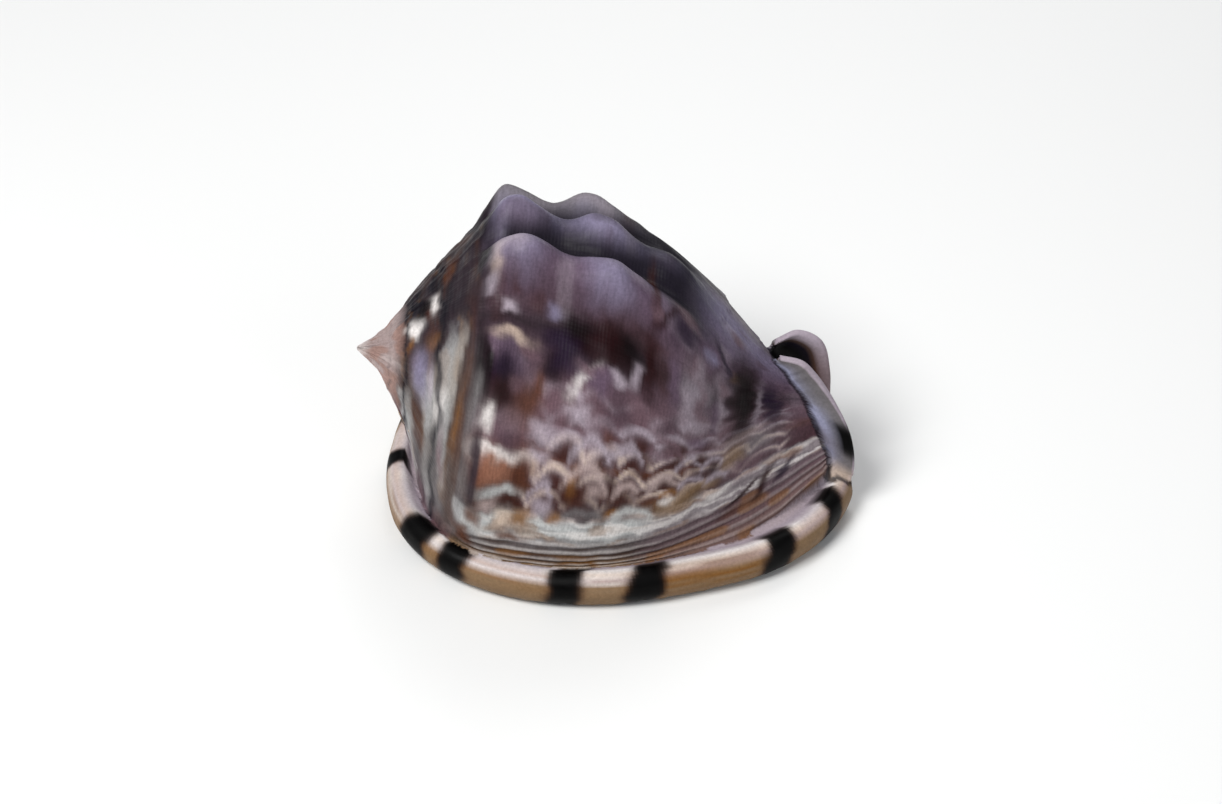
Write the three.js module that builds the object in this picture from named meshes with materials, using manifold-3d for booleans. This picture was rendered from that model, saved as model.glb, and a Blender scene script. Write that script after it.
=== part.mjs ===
// King helmet shell, about 190 mm long, lying on its aperture side.
// Millimetres, +Z up. The spire points to -X, the siphonal canal to +X, the outer lip to -Y.
import * as THREE from 'three';
import { mergeVertices } from 'three/addons/utils/BufferGeometryUtils.js';
import { ParametricGeometry } from 'three/addons/geometries/ParametricGeometry.js';
import Module from 'manifold-3d';

const wasm = await Module();
wasm.setup();

// Coiling axis: it starts at the apex and sinks towards the canal
const APEX = new THREE.Vector3(-97.5, -9, 62.5);
const AXIS_TILT = 8;
const AXIS_YAW = 8;
const AXIS_LENGTH = 182;
const WHORL_GROWTH = 1.8; // how much the radius grows in one turn

// Turn angle about the axis: 0 is the top of the shell, and it grows towards the outer lip
const LIP_ANGLE = 116;
const FIRST_ANGLE = -226; // the body goes round from here to the lip
const CLOSING_STEPS = 3; // and closes along the floor under the lip
const FLOOR = 5; // the whorl is cut off here, inside the rim
const SHOULDER_RADIUS = 36.5;

// Moves the finished shell so that the middle of its box is over the origin
const CENTRING = [2.4, 7.7, 0];

// Outline of the body along the axis: distance from the apex, radius
const PROFILE = [
  [0, 0], [2.5, 2], [6, 4.6], [10, 8.6], [15, 16.2], [20, 24.5], [26, 33], [32, 41.5], [38, 50], [43, 55],
  [50, 58.5], [60, 58.5], [70, 58.5], [80, 59], [90, 58.7], [100, 56.7], [110, 53.7], [120, 49.2], [130, 42],
  [140, 32.5], [150, 22], [160, 13.5], [170, 8], [182, 4],
];

// Lengthwise ridges: turn angle, half width, height between the knobs, knobs [height, place, half length]
const RIDGES = [
  { turn: -138, width: 10, base: 2, knobs: [[4.5, 43, 10]] },
  { turn: -113, width: 10, base: 4, knobs: [[5, 46, 11], [3, 80, 12]] },
  { turn: -88, width: 10, base: 6, knobs: [[5.5, 48, 11], [4, 82, 12]] },
  { turn: -63, width: 10, base: 8, knobs: [[6, 49, 12], [5, 82, 12], [3, 111, 12]] },
  { turn: -38, width: 9.5, base: 10, knobs: [[7.3, 50.5, 12.5], [6.8, 80, 12]] },
  { turn: -13.5, width: 9.5, base: 7.5, knobs: [[9.2, 52.5, 14], [7, 84.5, 12], [4.5, 113, 12]] },
  { turn: 13, width: 9.5, base: 11, knobs: [[9, 56.5, 13], [8, 89, 15], [4.5, 113, 14]] },
  { turn: 50, width: 10, base: 1, knobs: [[10, 47.5, 11]] },
  { turn: 81, width: 8, base: 0.5, knobs: [[9, 46.5, 12]] },
  { turn: 97, width: 6, base: 0.3, knobs: [[5, 45, 12]] },
];
const RIDGE_FULLNESS = 2.5; // above 2 the flanks are steeper and the crest is rounder
const KNOB_STEEPNESS = 0.7; // a knob is shorter on its spire side
const RIDGE_DRIFT = 12; // degrees that a ridge turns towards the lip on its way to the canal
const VALLEY_DEPTH = 4.5; // how far the body sinks between the ridges, up to the turn angle of its edge
const VALLEY_EDGE = 22;
const VALLEY_FADE = 13;

// Groove where the body meets the lip: distance along the axis, y, z
const GROOVE = [
  [18, -10, 18], [25, -24, 12], [32, -39, 12], [40, -52, 12], [49, -60, 12], [57, -64, 12], [72, -66, 12],
  [88, -65.5, 12], [102, -63, 12], [120, -57, 12], [138, -48, 12], [152, -38.5, 12], [164, -26, 13],
  [173, -15, 16], [182, -4, 19],
];
const GROOVE_X_OFFSET = -99;
const SKIRT_START = 35; // turn angle where the body starts to flare towards the groove

// Rim: plan outline of the outer lip, from the canal to the spire end, and of the parietal shield back again
const LIP_OUTLINE = [
  [93, 4], [86, -24], [67, -47], [40, -62], [8, -73.5], [-24, -75.5], [-55, -66], [-76, -47], [-86, -22],
];
const SHIELD_OUTLINE = [[-88, 0], [-84, 34], [-66, 58], [-30, 62], [20, 54], [60, 40], [85, 24]];
const RIM_ROUND = 7;
const LIP_THICKNESS = 14;
const SHIELD_THICKNESS = 9;
const REST_BAND = 10; // width of the flat band that the shell rests on
const PLATE_STEPS = 80;

// Aperture: centre line of the slit in plan, and its half width
const SLIT = [[-62, -24], [-40, -33], [-10, -36], [20, -30], [45, -17], [60, -5]];
const SLIT_HALF_WIDTH = 6.5;
const SLIT_DEPTH = 22;

// Teeth on the lip side of the slit, and folds on the other side
const TEETH = { count: 11, from: 0.12, to: 0.88, size: [3.8, 9, 5], inset: -3.5, height: 5.4 };
const FOLDS = { count: 13, from: 0.2, to: 0.9, size: [1.5, 8, 2.6], inset: -2, height: 3.4 };

// Canal: guide lines of its near edge, far edge and bed, from the slit up and back over the end
const CANAL_NEAR = [
  [56, -8, -2], [75, -6, 0], [88, -1, 9], [90, 3, 19],
  [85.5, 8, 31], [81.5, 10.5, 42], [76, 12, 53], [63, 13, 59.5],
];
const CANAL_FAR = [
  [56, 2, -2], [74, 5, 0], [86, 12, 8], [84, 18, 20],
  [79, 23, 32], [78, 26, 43], [73, 28, 53], [63, 24, 59],
];
const CANAL_BED = [
  [50, -5, 13], [64, -1, 15], [74, 5, 20], [74, 10, 28],
  [70, 14, 37], [65, 17, 45], [60, 18, 50], [57, 18, 55],
];
const CANAL_WALL = 3.4;
const CANAL_BED_WALL = 8; // the bed is backed by the body
const CANAL_STEPS = 14;

// Plain numbers of the shape functions
const radians = THREE.MathUtils.degToRad;
const smooth = (x) => THREE.MathUtils.smoothstep(x, 0, 1);
const bump = (x, centre, width, power = 2) => Math.exp(-(Math.abs((x - centre) / width) ** power));

// Reads a table of [place, value, ...] rows with smooth steps that never overshoot
function readTable(rows, x, column = 1) {
  const last = rows.length - 1;
  const at = THREE.MathUtils.clamp(x, rows[0][0], rows[last][0]);
  let i = 0;
  while (i < last - 1 && at > rows[i + 1][0]) i += 1;
  const slope = (k) => (rows[k + 1][column] - rows[k][column]) / (rows[k + 1][0] - rows[k][0]);
  const tangent = (k) => {
    if (k === 0) return slope(0);
    if (k === last) return slope(last - 1);
    const [before, after] = [slope(k - 1), slope(k)];
    return before * after <= 0 ? 0 : (2 * before * after) / (before + after);
  };
  const span = rows[i + 1][0] - rows[i][0];
  const t = (at - rows[i][0]) / span;
  const start = rows[i][column] * (1 + 2 * t) * (1 - t) ** 2 + tangent(i) * span * t * (1 - t) ** 2;
  return start + rows[i + 1][column] * t * t * (3 - 2 * t) + tangent(i + 1) * span * t * t * (t - 1);
}

// Directions of the coiling axis, of the lip side and of the top
const tilt = radians(AXIS_TILT);
const yaw = radians(AXIS_YAW);
const AXIS = new THREE.Vector3(Math.cos(yaw), Math.sin(yaw), -Math.tan(tilt)).normalize();
const SIDE = new THREE.Vector3(Math.sin(yaw), -Math.cos(yaw), 0);
const TOP = new THREE.Vector3().crossVectors(AXIS, SIDE).negate();

// How far the ridges have turned towards the lip; they run straight at the skirt and underneath
function drift(turn, along) {
  const kept = (1 - smooth((turn - 40) / 60)) * (1 - smooth((-turn - 145) / 50));
  return RIDGE_DRIFT * (THREE.MathUtils.clamp(along - 49, 0, 90) / 57) ** 1.5 * kept;
}

// Radius of the whorl on the ridge line of a turn angle, at a distance along the axis
function whorlRadius(turn, along) {
  const base = readTable(PROFILE, along);
  const fading = smooth((along - 22) / 22) * (1 - 0.5 * smooth((along - 110) / 60));
  const turns = (turn + drift(turn, along)) / 360;
  const growth = (WHORL_GROWTH ** turns - 1) * fading;
  const phase = Math.log(Math.max(base, 0.1) / SHOULDER_RADIUS) / Math.log(WHORL_GROWTH) - turns;
  const suture = phase < 0
    ? (1 - (phase - Math.floor(phase))) ** 3 * Math.min(base * 0.03, 0.9)
    : Math.exp(-phase * 6) * 0.9;
  const reach = smooth((along - 38) / 10) * (1 - smooth((along - 90) / 40));
  let radius = base * (1 + growth) + suture;
  radius -= VALLEY_DEPTH * reach * smooth((VALLEY_EDGE - turn) / VALLEY_FADE);
  for (const ridge of RIDGES) {
    let height = ridge.base * reach;
    for (const [knob, place, length] of ridge.knobs) {
      height += knob * bump(along, place, along < place ? length * KNOB_STEEPNESS : length);
    }
    radius += height * bump(turn, ridge.turn, ridge.width, RIDGE_FULLNESS);
  }
  return radius;
}

const axisPoint = (along) => APEX.clone().addScaledVector(AXIS, along);

// A point of the whorl, which flares into the groove on the lip side
function whorlPoint(turn, along) {
  const radius = whorlRadius(turn, along);
  const angle = radians(turn + drift(turn, along));
  const point = axisPoint(along);
  point.addScaledVector(TOP, radius * Math.cos(angle));
  point.addScaledVector(SIDE, radius * Math.sin(angle));
  const flare = THREE.MathUtils.clamp((turn - SKIRT_START) / (LIP_ANGLE - SKIRT_START), 0, 1) ** 2.2;
  const groove = new THREE.Vector3(
    Math.max(along, GROOVE[0][0]) + GROOVE_X_OFFSET,
    readTable(GROOVE, along, 1),
    readTable(GROOVE, along, 2),
  );
  point.lerp(groove, flare * smooth((along - 14) / 16));
  point.z = Math.max(point.z, FLOOR);
  return point;
}

// Turn angles of the columns: close together over the ridges, with one on every crest
const evenly = (from, to, steps) => Array.from({ length: steps }, (_, i) => from + ((to - from) * i) / steps);
const TURNS = [
  ...evenly(FIRST_ANGLE, -150, 8),
  ...RIDGES.slice(0, 7).flatMap(({ turn }) => [-12, -8, -4, 0, 4, 8].map((offset) => turn + offset)),
  ...evenly(27, LIP_ANGLE, 15),
  LIP_ANGLE,
];
const TURN_STEPS = TURNS.length - 1 + CLOSING_STEPS;

// The body closes under the lip: the last columns run along the floor to the first one
function bodyPoint(step, along) {
  const closing = step - (TURNS.length - 1);
  if (closing <= 0) return whorlPoint(TURNS[step], along);
  const lip = whorlPoint(LIP_ANGLE, along);
  lip.lerp(whorlPoint(FIRST_ANGLE, along), closing / CLOSING_STEPS);
  lip.z = THREE.MathUtils.lerp(lip.z, FLOOR, smooth((along - 22) / 10));
  return lip;
}

// Turns a closed geometry into a solid
function solidOf(geometry) {
  geometry.deleteAttribute('normal');
  geometry.deleteAttribute('uv');
  const merged = mergeVertices(geometry, 1e-4);
  const corners = merged.index.array;
  const kept = [];
  for (let i = 0; i < corners.length; i += 3) {
    const [a, b, c] = [corners[i], corners[i + 1], corners[i + 2]];
    if (a !== b && b !== c && c !== a) kept.push(a, b, c);
  }
  const mesh = (order) => new wasm.Mesh({
    numProp: 3,
    vertProperties: new Float32Array(merged.attributes.position.array),
    triVerts: new Uint32Array(order),
  });
  const solid = new wasm.Manifold(mesh(kept));
  return solid.volume() > 0 ? solid : new wasm.Manifold(mesh(kept.reverse()));
}

// A closed grid solid from a point function of two whole-number steps
function gridSolid(pointAt, acrossSteps, alongSteps) {
  const step = (share, steps) => Math.round(share * steps);
  const surface = (u, v, target) => target.copy(pointAt(step(u, acrossSteps), step(v, alongSteps)));
  return solidOf(new ParametricGeometry(surface, acrossSteps, alongSteps));
}

// Places along the axis, closer together at the spire and the knobs
const ALONG = [
  0, 3, 6, 10, 14, 18, 22, 26, 30, 34, 38, 42, 46, 50, 55, 60, 66, 72, 78, 84, 90, 97, 104, 111, 118,
  126, 134, 142, 150, 157, 164, 170, 176, 182, 182,
];

function bodySolid() {
  const last = ALONG.length - 1;
  const pointAt = (i, j) => {
    if (j === 0) return APEX.clone();
    if (j === last) return axisPoint(AXIS_LENGTH);
    return bodyPoint(i % TURN_STEPS, ALONG[j]);
  };
  return gridSolid(pointAt, TURN_STEPS, last);
}

const flatPoint = ([x, y]) => new THREE.Vector3(x, y, 0);
const flatCurve = (points, closed) => new THREE.CatmullRomCurve3(points.map(flatPoint), closed);

// The rim outline, walked from the canal along the lip to the spire end (0.5) and back along the shield
const outline = flatCurve([...LIP_OUTLINE, ...SHIELD_OUTLINE], true);
const outlineTurnRound = LIP_OUTLINE.length / (LIP_OUTLINE.length + SHIELD_OUTLINE.length);
function outlineAt(t) {
  const along = t < 0.5 ? t * 2 * outlineTurnRound : outlineTurnRound + (t * 2 - 1) * (1 - outlineTurnRound);
  const tangent = outline.getTangent(along % 1);
  return { point: outline.getPoint(along % 1), outward: new THREE.Vector3(-tangent.y, tangent.x, 0) };
}

// The edge of the slit, walked the same way round
const slitLine = flatCurve(SLIT, false);
function slitAt(t, widening = 0) {
  const lipSide = t < 0.5;
  const s = lipSide ? 1 - t * 2 : t * 2 - 1;
  const tangent = slitLine.getTangentAt(s);
  const outward = new THREE.Vector3(-tangent.y, tangent.x, 0).multiplyScalar(lipSide ? -1 : 1);
  const half = (SLIT_HALF_WIDTH + widening) * Math.sqrt(1 - Math.abs(2 * s - 1) ** 8);
  return { point: slitLine.getPointAt(s).addScaledVector(outward, half), outward };
}

// The rim and the underside: a ring around the slit, flat where it rests
function rimThickness(t) {
  const shieldPart = smooth((t - 0.5) / 0.12) * smooth((1 - t) / 0.12);
  return LIP_THICKNESS + (SHIELD_THICKNESS - LIP_THICKNESS) * shieldPart;
}

function plateSolid() {
  const rollSteps = 6;
  const pointAt = (i, j) => {
    const t = (i % PLATE_STEPS) / PLATE_STEPS;
    const { point: edge, outward } = outlineAt(t);
    const slit = slitAt(t);
    const thickness = rimThickness(t);
    const span = new THREE.Vector3().subVectors(slit.point, edge);
    const inward = (distance) => edge.clone().addScaledVector(span.clone().normalize(), distance);
    const share = (part) => edge.clone().addScaledVector(span, part);
    const bandEdge = Math.min(RIM_ROUND + REST_BAND, span.length() * 0.42);
    if (j <= rollSteps) {
      const roll = radians(-90 + (180 * j) / rollSteps);
      const point = edge.clone().addScaledVector(outward, RIM_ROUND * (Math.abs(Math.cos(roll)) ** 0.8 - 1));
      return point.setZ((thickness / 2) * (1 + Math.sin(roll)));
    }
    const rows = [
      inward(RIM_ROUND * 2).setZ(thickness - 3),
      slit.point.clone().setZ(t < 0.5 ? 12 : 12 + 20 * smooth(slit.point.x / 50)),
      slit.point.clone().setZ(6.5),
      slit.point.clone().addScaledVector(slit.outward, 1.5).setZ(3),
      share(0.8).setZ(2.6),
      share(0.58).setZ(2.6),
      inward(bandEdge).setZ(0),
      edge.clone().addScaledVector(outward, -RIM_ROUND).setZ(0),
    ];
    return rows[j - rollSteps - 1];
  };
  return gridSolid(pointAt, PLATE_STEPS, rollSteps + 8);
}

// The deep slit in the floor of the body, a little wider than the opening of the plate
function slitTool() {
  const steps = 48;
  const clearance = 1.6;
  const shape = new THREE.Shape();
  for (let i = 0; i < steps; i += 1) {
    const { point } = slitAt((i + 0.5) / steps, clearance);
    if (i === 0) shape.moveTo(point.x, point.y);
    else shape.lineTo(point.x, point.y);
  }
  const geometry = new THREE.ExtrudeGeometry(shape, { depth: SLIT_DEPTH + 1, bevelEnabled: false });
  return solidOf(geometry.translate(0, 0, -1));
}

// One row of small rounded lumps beside the slit: teeth, or folds
function lumpRow({ count, from, to, size, inset, height }, lipSide) {
  const lumps = [];
  for (let i = 0; i < count; i += 1) {
    const s = from + ((to - from) * i) / (count - 1);
    const { point, outward } = slitAt(lipSide ? (1 - s) / 2 : (1 + s) / 2);
    const lump = new THREE.SphereGeometry(1, 6, 5).scale(...size);
    lump.rotateZ(Math.atan2(outward.y, outward.x) + Math.PI / 2);
    const centre = point.addScaledVector(outward, size[1] + inset);
    lumps.push(solidOf(lump.translate(centre.x, centre.y, height)));
  }
  return lumps;
}

// Half pipe through the three guide lines of the canal
const lineThrough = (points) => new THREE.CatmullRomCurve3(points.map((p) => new THREE.Vector3(...p)));
const canalLines = [CANAL_NEAR, CANAL_FAR, CANAL_BED].map(lineThrough);
function canalSection(share) {
  const [near, far, bed] = canalLines.map((line) => line.getPoint(share));
  const centre = near.clone().lerp(far, 0.5);
  return { centre, across: far.sub(near).multiplyScalar(0.5), down: bed.sub(centre) };
}

function canalPoint({ centre, across, down }, angle, thicker, deeper = thicker) {
  const side = across.clone().setLength(across.length() + thicker).multiplyScalar(Math.sin(angle));
  const depth = down.clone().setLength(down.length() + deeper).multiplyScalar(Math.cos(angle));
  return centre.clone().add(side).add(depth);
}

function canalSolid() {
  const half = 7;
  const pointAt = (i, j) => {
    const place = THREE.MathUtils.clamp(j - 1, 0, CANAL_STEPS - 2) / (CANAL_STEPS - 2);
    const closed = j === 0 || j === CANAL_STEPS;
    const outside = i % (half * 2) < half;
    const step = outside ? i % half : half - 1 - (i % half);
    const angle = radians(-90 + (180 * step) / (half - 1));
    const bed = CANAL_WALL + (CANAL_BED_WALL - CANAL_WALL) * (1 - smooth((place - 0.7) / 0.3));
    const section = canalSection(place);
    if (closed) return canalPoint(section, angle, CANAL_WALL / 2);
    return outside ? canalPoint(section, angle, CANAL_WALL, bed) : canalPoint(section, angle, 0);
  };
  const ground = new THREE.BoxGeometry(400, 400, 40).translate(0, 0, -20);
  return gridSolid(pointAt, half * 2, CANAL_STEPS).subtract(solidOf(ground));
}

// What the canal clears away: its inside, and the space in front of it
function canalTool() {
  const half = 7;
  const reach = 26;
  const pointAt = (i, j) => {
    const section = canalSection(THREE.MathUtils.clamp(j - 1, 0, CANAL_STEPS - 2) / (CANAL_STEPS - 2));
    if (j === 0 || j === CANAL_STEPS) return section.centre;
    const step = i % (half + 2);
    if (step < half) return canalPoint(section, radians(-90 + (180 * step) / (half - 1)), 0.3);
    const corner = canalPoint(section, radians(step === half ? 90 : -90), 0.3);
    return corner.addScaledVector(section.down.clone().normalize(), -reach);
  };
  return gridSolid(pointAt, half + 2, CANAL_STEPS);
}

const add = (solid, more) => solid.add(more);
const body = bodySolid().subtract(slitTool());
const shellSolid = [...lumpRow(TEETH, true), ...lumpRow(FOLDS, false)]
  .reduce(add, body.add(plateSolid()))
  .subtract(canalTool())
  .add(canalSolid());

// The cuts can leave a loose crumb, so only the shell itself is kept
const wholeShell = shellSolid.decompose().reduce((a, b) => (a.volume() > b.volume() ? a : b));

// The solid as a three.js mesh
function meshOf(solid, name, material) {
  const { vertProperties, triVerts, numProp } = solid.getMesh();
  const geometry = new THREE.BufferGeometry();
  const corners = new Float32Array((vertProperties.length / numProp) * 3);
  for (let i = 0; i < corners.length / 3; i += 1) {
    for (let k = 0; k < 3; k += 1) corners[i * 3 + k] = vertProperties[i * numProp + k];
  }
  geometry.setAttribute('position', new THREE.BufferAttribute(corners, 3));
  geometry.setIndex(new THREE.BufferAttribute(new Uint32Array(triVerts), 1));
  geometry.computeVertexNormals();
  const mesh = new THREE.Mesh(geometry, material);
  mesh.name = name;
  mesh.position.set(...CENTRING);
  return mesh;
}

const shellMaterial = new THREE.MeshStandardMaterial({ color: 0x8f7a74, roughness: 0.45, metalness: 0 });
const helmet = new THREE.Group();
helmet.add(meshOf(wholeShell, 'shell', shellMaterial));

export default helmet;
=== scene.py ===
# King helmet shell: the visual model and its finish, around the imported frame
from math import cos, radians, sin

import bpy
import numpy as np
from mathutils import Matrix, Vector
from mathutils.kdtree import KDTree


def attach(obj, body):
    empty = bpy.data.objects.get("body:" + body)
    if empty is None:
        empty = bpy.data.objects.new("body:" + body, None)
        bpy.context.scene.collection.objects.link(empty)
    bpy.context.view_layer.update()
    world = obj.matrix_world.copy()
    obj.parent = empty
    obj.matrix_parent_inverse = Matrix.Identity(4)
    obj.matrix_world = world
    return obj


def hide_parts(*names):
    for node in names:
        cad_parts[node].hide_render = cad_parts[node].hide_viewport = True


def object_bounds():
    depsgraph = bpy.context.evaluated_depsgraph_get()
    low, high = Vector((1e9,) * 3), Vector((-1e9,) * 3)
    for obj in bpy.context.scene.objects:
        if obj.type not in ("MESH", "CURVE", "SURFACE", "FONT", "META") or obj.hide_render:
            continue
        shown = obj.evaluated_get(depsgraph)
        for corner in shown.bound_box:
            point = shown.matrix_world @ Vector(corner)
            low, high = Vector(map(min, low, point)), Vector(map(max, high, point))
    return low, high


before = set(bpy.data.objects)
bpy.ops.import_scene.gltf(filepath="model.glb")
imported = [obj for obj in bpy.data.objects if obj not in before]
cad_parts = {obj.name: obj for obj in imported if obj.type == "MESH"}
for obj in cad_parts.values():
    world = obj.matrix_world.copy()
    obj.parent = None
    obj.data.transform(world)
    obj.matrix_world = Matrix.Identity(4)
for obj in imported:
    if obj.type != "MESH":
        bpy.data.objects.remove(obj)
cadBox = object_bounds()
print("frame loaded")

# The coil, in millimetres and degrees, measured from the unshifted shell
coil = {
    "apex": (-97.5, -9, 62.5),
    "tilt": 8,
    "yaw": 8,
    "length": 182,
    "growth": 1.8,           # how much the radius grows in one turn
    "lipAngle": 116,         # 0 is the top, growing towards the outer lip
    "closing": 18,           # degrees that run along the floor under the lip
    "floor": 5,
    "shoulderRadius": 36.5,
    "skirtStart": 35,
    "centring": (2.4, 7.7, 0),
    "turnSteps": 420,
    "alongSteps": 176,
}

# Outline of the body: distance from the apex, radius
profile = [
    (0, 0), (2.5, 2), (6, 4.6), (10, 8.6), (15, 16.2), (20, 24.5), (26, 33), (32, 41.5), (38, 50), (43, 55),
    (50, 58.5), (60, 58.5), (70, 58.5), (80, 59), (90, 58.7), (100, 56.7), (110, 53.7), (120, 49.2),
    (130, 42), (140, 32.5), (150, 22), (160, 13.5), (170, 8), (182, 4),
]

# Lengthwise ridges: turn angle, half width, height between the knobs, knobs (height, place, half length)
ridges = [
    (-138, 10, 2, [(4.5, 43, 10)]),
    (-113, 10, 4, [(5, 46, 11), (3, 80, 12)]),
    (-88, 10, 6, [(5.5, 48, 11), (4, 82, 12)]),
    (-63, 10, 8, [(6, 49, 12), (5, 82, 12), (3, 111, 12)]),
    (-38, 9.5, 10, [(7.3, 50.5, 12.5), (6.8, 80, 12)]),
    (-13.5, 9.5, 7.5, [(9.2, 52.5, 14), (7, 84.5, 12), (4.5, 113, 12)]),
    (13, 9.5, 11, [(9, 56.5, 13), (8, 89, 15), (4.5, 113, 14)]),
    (50, 10, 1, [(10, 47.5, 11)]),
    (81, 8, 0.5, [(9, 46.5, 12)]),
    (97, 6, 0.3, [(5, 45, 12)]),
]
ridgeDrift = 12            # degrees that a ridge turns towards the lip on its way to the canal
# How far the body sinks between the ridges, up to the turn angle of the edge
valley = {"depth": 4.5, "edge": 22, "fade": 13}

# Groove where the body meets the lip: distance along the axis, y, z
groove = [
    (18, -10, 18), (25, -24, 12), (32, -39, 12), (40, -52, 12), (49, -60, 12), (57, -64, 12), (72, -66, 12),
    (88, -65.5, 12), (102, -63, 12), (120, -57, 12), (138, -48, 12), (152, -38.5, 12), (164, -26, 13),
    (173, -15, 16), (182, -4, 19),
]
grooveStart = -99          # x of the groove where the distance along the axis is 0

# Rim and underside: plan outline of the lip and of the shield, and the sizes of the rolled edge
rim = {
    "lip": [(93, 4), (86, -24), (67, -47), (40, -62), (8, -73.5), (-24, -75.5), (-55, -66), (-76, -47),
            (-86, -22)],
    "shield": [(-88, 0), (-84, 34), (-66, 58), (-30, 62), (20, 54), (60, 40), (85, 24)],
    "round": 7,
    "lipThickness": 14,
    "shieldThickness": 9,
    "restBand": 10,
    "aroundSteps": 460,
    "rollSteps": 16,
}

# Aperture slit, its teeth on the lip side and its folds on the other side
slit = {
    "line": [(-62, -24), (-40, -33), (-10, -36), (20, -30), (45, -17), (60, -5)],
    "halfWidth": 6.5,
    "depth": 22,
    "clearance": 1.6,        # the body is cut this much wider, and the plate makes the wall
}

# Siphonal canal: its near edge, far edge and bed from the slit to the tip, and its wall
canal = {
    "near": [(56, -8, -2), (75, -6, 0), (88.5, -1, 8), (90.4, 2, 19), (88, 6.5, 30), (81.5, 10.5, 42),
             (74, 12, 53), (69, 12.5, 57.5), (60.5, 14.5, 57.5)],
    "far": [(56, 2, -2), (74, 5, 0), (86, 12, 8), (84, 18, 20), (80, 23, 31), (78.5, 26, 42), (74.5, 27, 54),
            (66.5, 26, 58.5), (59, 22, 57)],
    "bed": [(50, -5, 13), (64, -1, 15), (74, 5, 20), (74, 10, 28), (70, 14, 37), (65, 17, 44), (62, 18.5, 49),
            (60, 19, 51), (57.5, 18.5, 55)],
    "wall": 3.4,
    "bedWall": 8,
    "alongSteps": 84,
    "halfSteps": 24,
    "edgeSteps": 6,
}


def smooth(x):
    t = np.clip(x, 0, 1)
    return t * t * (3 - 2 * t)


def rise(x, start, width):
    # from 0 at the start to 1 a width further on
    return smooth((x - start) / width)


def fall(x, end, width):
    # from 1 a width before the end to 0 at the end
    return smooth((end - x) / width)


def bump(x, centre, width, power=2):
    return np.exp(-np.abs((x - centre) / width) ** power)


def readTable(rows, x, column=1):
    # smooth steps through a table, which never overshoot
    places = np.array([row[0] for row in rows], float)
    values = np.array([row[column] for row in rows], float)
    slopes = np.diff(values) / np.diff(places)
    inner = slopes[:-1] * slopes[1:]
    sums = np.where(inner > 0, slopes[:-1] + slopes[1:], 1)
    tangents = np.concatenate([slopes[:1], np.where(inner > 0, 2 * inner / sums, 0), slopes[-1:]])
    at = np.clip(x, places[0], places[-1])
    i = np.clip(np.searchsorted(places, at, side="right") - 1, 0, len(places) - 2)
    span = places[i + 1] - places[i]
    t = (at - places[i]) / span
    start = values[i] * (1 + 2 * t) * (1 - t) ** 2 + tangents[i] * span * t * (1 - t) ** 2
    return start + values[i + 1] * t * t * (3 - 2 * t) + tangents[i + 1] * span * t * t * (t - 1)


tilt, yaw = radians(coil["tilt"]), radians(coil["yaw"])
apex = np.array(coil["apex"], float)
axisDirection = np.array([cos(tilt) * cos(yaw), cos(tilt) * sin(yaw), -sin(tilt)])
sideDirection = np.array([sin(yaw), -cos(yaw), 0])
topDirection = -np.cross(axisDirection, sideDirection)


def axisPoint(along):
    return apex + np.multiply.outer(along, axisDirection)


def drift(turn, along):
    # degrees that the ridges have turned towards the lip, fading out at the skirt and underneath
    kept = fall(turn, 100, 60) * fall(-turn, 195, 50)
    return ridgeDrift * (np.clip(along - 49, 0, 90) / 57) ** 1.5 * kept


def seamWobble(turn):
    # the seams between the whorls wander a little, as share of the way to the next seam
    return 0.05 * np.sin(turn * 0.16) + 0.03 * np.sin(turn * 0.41 + 1)


def cordRelief(turn, along):
    # cords that run beside the lip, wider apart towards it, from -1 to 1
    lines = np.sin(np.maximum(turn - 90, 0) ** 1.25 * 0.6 + 0.9 * np.sin(along / 19))
    return lines * (0.75 + 0.25 * np.sin(along / 7 + turn))


def whorlRadius(turn, along, smoothBody=False):
    base = readTable(profile, along)
    growthPart = rise(along, 22, 22) * (1 - 0.5 * rise(along, 110, 60))
    realTurn = turn + drift(turn, along)
    growth = (coil["growth"] ** (realTurn / 360) - 1) * growthPart
    phase = np.log(np.maximum(base, 0.1) / coil["shoulderRadius"]) / np.log(coil["growth"]) - realTurn / 360
    phase = phase + seamWobble(turn)
    step = (1 - (phase - np.floor(phase))) ** 3 * np.minimum(base * 0.03, 0.9)
    radius = base * (1 + growth) + np.where(phase < 0, step, np.exp(-np.maximum(phase, 0) * 6) * 0.9)
    reach = rise(along, 38, 10) * fall(along, 130, 40)
    radius = radius - valley["depth"] * reach * fall(turn, valley["edge"], valley["fade"])
    if smoothBody:
        return radius
    for ridgeTurn, width, height, knobs in ridges:
        crest = height * reach
        for knob, place, length in knobs:
            crest = crest + knob * bump(along, place, np.where(along < place, length * 0.7, length))
        radius = radius + crest * bump(turn, ridgeTurn, width, 2.5)
    return radius


def whorlPoint(turn, along):
    radius = whorlRadius(turn, along)[..., None]
    angle = np.radians(turn + drift(turn, along))[..., None]
    point = axisPoint(along) + radius * (np.cos(angle) * topDirection + np.sin(angle) * sideDirection)
    flare = np.clip((turn - coil["skirtStart"]) / (coil["lipAngle"] - coil["skirtStart"]), 0, 1) ** 2.2
    flare = (flare * rise(along, 14, 16))[..., None]
    grooveX = np.maximum(along, groove[0][0]) + grooveStart
    lip = np.stack([grooveX, readTable(groove, along, 1), readTable(groove, along, 2)], -1)
    point = point * (1 - flare) + lip * flare
    point[..., 2] = np.maximum(point[..., 2], coil["floor"])
    return point


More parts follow.
